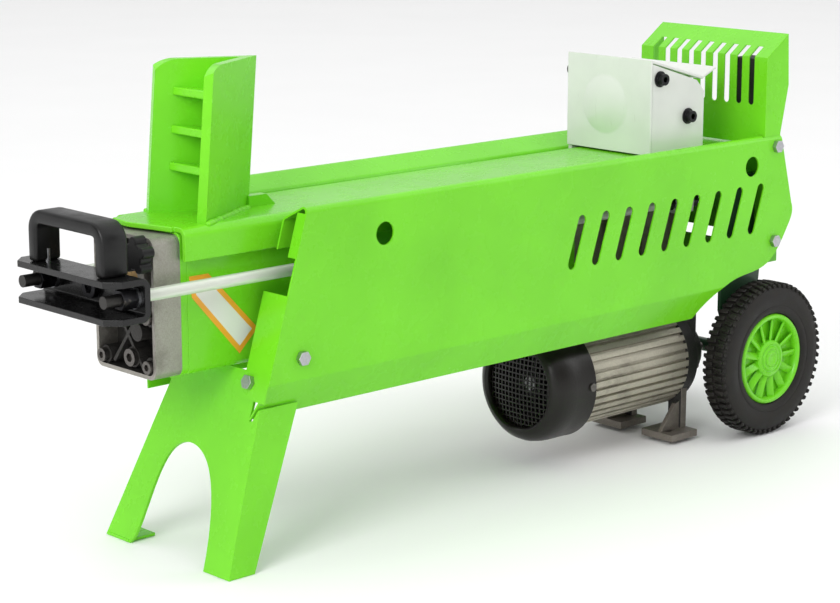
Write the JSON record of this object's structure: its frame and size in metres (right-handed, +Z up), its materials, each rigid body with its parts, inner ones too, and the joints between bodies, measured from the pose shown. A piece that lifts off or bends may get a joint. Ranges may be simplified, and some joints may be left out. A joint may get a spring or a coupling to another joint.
{
  "type": "log splitter",
  "caption": "Horizontal electric hydraulic log splitter with a fixed upright wedge, a sliding pusher, a front leg, transport wheels and a motor slung under the beam.",
  "frame": {"origin": "centre of the bounding box on the ground plane", "axes": "+X runs along the beam from the wedge to the wheels, +Z is up, -Y is the side with the motor switch"},
  "size_m": [0.995, 0.242, 0.4859],
  "materials": {
    "green_paint": "gloss",
    "dark_paint": "satin",
    "black_plastic": "satin",
    "black_steel": "gloss",
    "zinc": "satin",
    "rod_steel": "polished",
    "cast_alu": "cast",
    "cast_dark": "cast",
    "bare_steel": "turned",
    "windings": "varnished",
    "bronze": "turned",
    "tyre_rubber": "matte",
    "seal_rubber": "matte",
    "nylon": "satin",
    "switch_plastic": "satin",
    "button_plastic": "gloss",
    "label_vinyl": "gloss"
  },
  "bodies": {
    "frame": {"beam_box": "green_paint", "deck_channel": "green_paint", "end_plates": "green_paint", "cylinder_tube": "bare_steel", "front_cover": "cast_alu", "rod_gland": "bronze", "cover_screws": "zinc", "plugs": "zinc", "wedge_plates": "green_paint", "wedge_ribs": "green_paint", "side_panel_near": "green_paint", "side_panel_far": "green_paint", "front_leg": "green_paint", "panel_bolts": "zinc", "guard_hood": "green_paint", "rear_frame": "green_paint", "axle_brackets": "dark_paint", "axle": "dark_paint", "axle_washers": "zinc", "fan_cover": "black_steel", "motor_housing": "cast_alu", "motor_bearings": "bare_steel", "stator": "windings", "end_bell": "cast_dark", "motor_screws": "zinc", "pump_body": "cast_dark", "pump_lid": "cast_alu", "valve_block": "cast_alu", "lever_bracket": "dark_paint", "switch_box": "switch_plastic", "power_inlet": "switch_plastic", "warning_plate": "label_vinyl"},
    "ram": {"piston": "cast_dark", "piston_seals": "seal_rubber", "piston_rod": "rod_steel", "crosshead": "black_steel", "carry_handle": "black_plastic", "handle_screws": "zinc", "tie_rods": "rod_steel", "tie_washers": "zinc", "ram_nuts": "zinc", "pusher_sides": "dark_paint", "pusher_core": "dark_paint", "slide_pads": "nylon", "pusher_cover": "green_paint", "pusher_bolts": "black_steel"},
    "bleed_screw": {"bleed_knob": "black_plastic"},
    "near_wheel": {"tyre_near": "tyre_rubber", "hub_near": "green_paint"},
    "far_wheel": {"tyre_far": "tyre_rubber", "hub_far": "green_paint"},
    "rotor": {"rotor_core": "bare_steel", "motor_shaft": "bare_steel", "cooling_fan": "nylon", "drive_gear": "bare_steel"},
    "idler": {"driven_gear": "bare_steel"},
    "lever": {"control_lever": "bare_steel", "lever_knob": "black_plastic"},
    "spool": {"spool": "rod_steel"},
    "button": {"start_button": "button_plastic"}
  },
  "joints": [
    {"name": "ram_slide", "type": "slide", "parent": "frame", "child": "ram", "axis": [-1, 0, 0], "range_m": [0, 0.39]},
    {"name": "bleed_turn", "type": "hinge", "parent": "frame", "child": "bleed_screw", "pos_m": [-0.42, -0.038, 0.315], "axis": [-1, 0, 0], "range_deg": [0, 180]},
    {"name": "near_wheel_spin", "type": "hinge", "parent": "frame", "child": "near_wheel", "pos_m": [0.408, -0.103, 0.09], "axis": [0, 1, 0], "continuous": true},
    {"name": "far_wheel_spin", "type": "hinge", "parent": "frame", "child": "far_wheel", "pos_m": [0.408, 0.103, 0.09], "axis": [0, 1, 0], "continuous": true},
    {"name": "motor_spin", "type": "hinge", "parent": "frame", "child": "rotor", "pos_m": [0.2, -0.012, 0.092], "axis": [1, 0, 0], "continuous": true},
    {"name": "idler_spin", "type": "hinge", "parent": "frame", "child": "idler", "pos_m": [0.35, -0.012, 0.1112], "axis": [1, 0, 0], "continuous": true},
    {"name": "lever_hinge", "type": "hinge", "parent": "frame", "child": "lever", "pos_m": [0.3443, 0.025, 0.302], "axis": [0, 1, 0], "range_deg": [0, 11], "stiffness_Nm_per_rad": 2, "springref_deg": -11.46},
    {"name": "spool_slide", "type": "slide", "parent": "frame", "child": "spool", "axis": [-1, 0, 0], "range_m": [0, 0.008]},
    {"name": "button_press", "type": "slide", "parent": "frame", "child": "button", "axis": [-1, 0, 0], "range_m": [0, 0.004], "stiffness_N_per_m": 400, "springref_m": -0.003}
  ],
  "couplings": [
    {"joint": "idler_spin", "follows": "motor_spin", "ratio": -1},
    {"joint": "spool_slide", "follows": "lever_hinge", "m_per_rad": 0.04}
  ]
}
